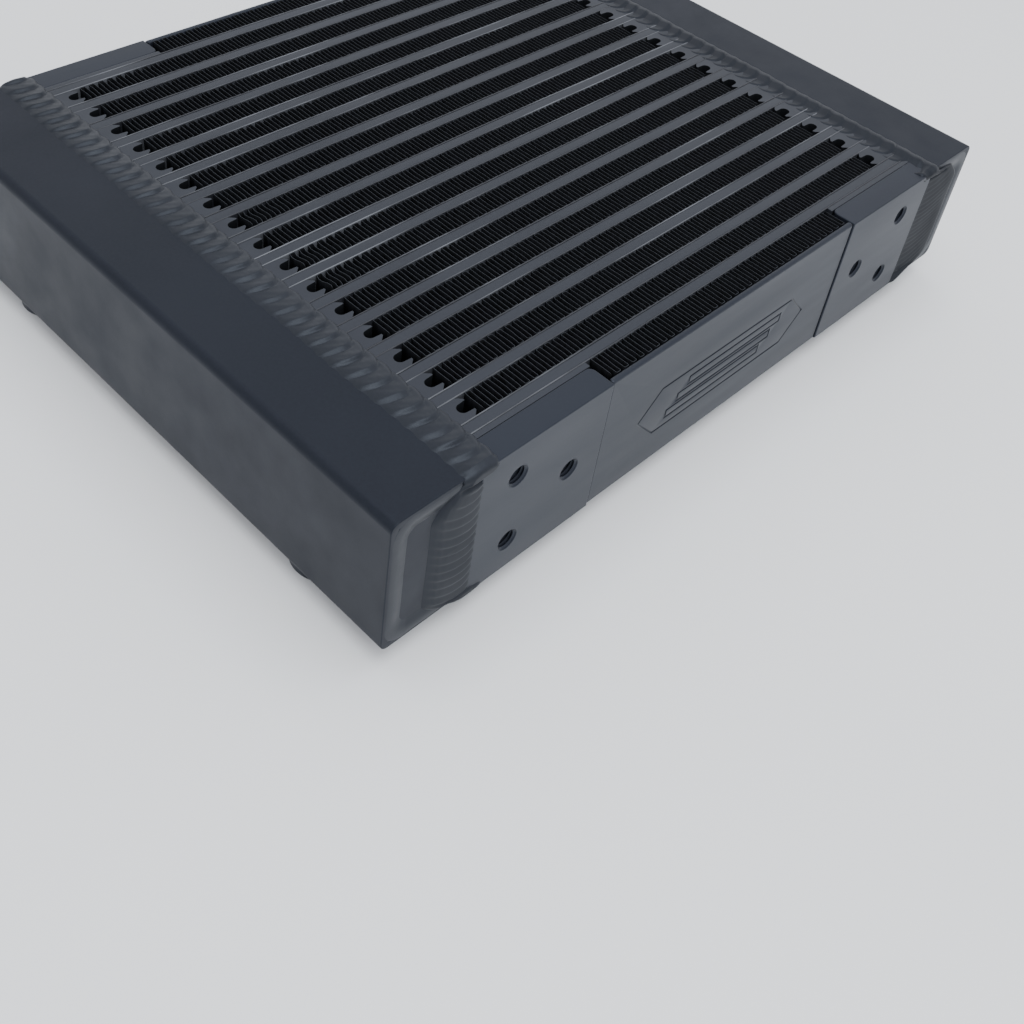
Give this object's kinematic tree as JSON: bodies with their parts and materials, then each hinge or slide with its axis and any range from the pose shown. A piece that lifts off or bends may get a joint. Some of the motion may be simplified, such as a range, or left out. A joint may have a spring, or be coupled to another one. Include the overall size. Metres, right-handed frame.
{
  "type": "liquid cooling radiator",
  "caption": "Rectangular black bar-and-plate radiator that cools a liquid: folded air fins between closed channels, two welded end tanks, threaded ports and bolt holes.",
  "frame": {"origin": "middle of the part's footprint, at the height of the port faces it stands on", "axes": "+X along the air rows from tank to tank, +Y along the stack of rows towards the far end, +Z along the air flow, away from the ports"},
  "size_m": [0.32, 0.2552, 0.0683],
  "materials": {
    "coated_sheet": "satin black coating on bent sheet",
    "coated_machined": "satin black coating on machined bar",
    "coated_weld": "satin black coating over rippled weld beads",
    "coated_core": "satin black coating on brazed bars and sheets",
    "coated_fin": "matt black coating on thin folded sheet",
    "bare_aluminium": "mill finish"
  },
  "bodies": {
    "root": {"corner_block_near_left": "coated_machined", "corner_block_near_right": "coated_machined", "corner_block_far_left": "coated_machined", "corner_block_far_right": "coated_machined", "backing_strips": "coated_core", "end_plate_near": "coated_machined", "end_plate_far": "coated_machined", "outer_fin_near": "coated_fin", "outer_fin_far": "coated_fin", "air_fin_01": "coated_fin", "air_fin_02": "coated_fin", "air_fin_03": "coated_fin", "air_fin_04": "coated_fin", "air_fin_05": "coated_fin", "air_fin_06": "coated_fin", "air_fin_07": "coated_fin", "air_fin_08": "coated_fin", "air_fin_09": "coated_fin", "air_fin_10": "coated_fin", "air_fin_11": "coated_fin", "air_fin_12": "coated_fin", "air_fin_13": "coated_fin", "air_fin_14": "coated_fin", "air_fin_15": "coated_fin", "air_fin_16": "coated_fin", "air_end_bars_left": "coated_core", "air_end_bars_right": "coated_core", "parting_sheets": "coated_core", "liquid_bars_01": "coated_core", "liquid_bars_02": "coated_core", "liquid_bars_03": "coated_core", "liquid_bars_04": "coated_core", "liquid_bars_05": "coated_core", "liquid_bars_06": "coated_core", "liquid_bars_07": "coated_core", "liquid_bars_08": "coated_core", "liquid_bars_09": "coated_core", "liquid_bars_10": "coated_core", "liquid_bars_11": "coated_core", "liquid_bars_12": "coated_core", "liquid_bars_13": "coated_core", "liquid_bars_14": "coated_core", "liquid_bars_15": "coated_core", "liquid_bars_16": "coated_core", "liquid_bars_17": "coated_core", "turbulators": "bare_aluminium", "tank_shell_left": "coated_sheet", "tank_shell_right": "coated_sheet", "tank_cap_near_left": "coated_sheet", "tank_cap_near_right": "coated_sheet", "tank_cap_far_left": "coated_sheet", "tank_cap_far_right": "coated_sheet", "tank_baffle": "bare_aluminium", "port_boss_near": "coated_machined", "port_boss_far": "coated_machined", "core_weld_left": "coated_weld", "core_weld_right": "coated_weld", "cap_welds": "coated_weld", "port_welds": "coated_weld"}
  },
  "joints": []
}
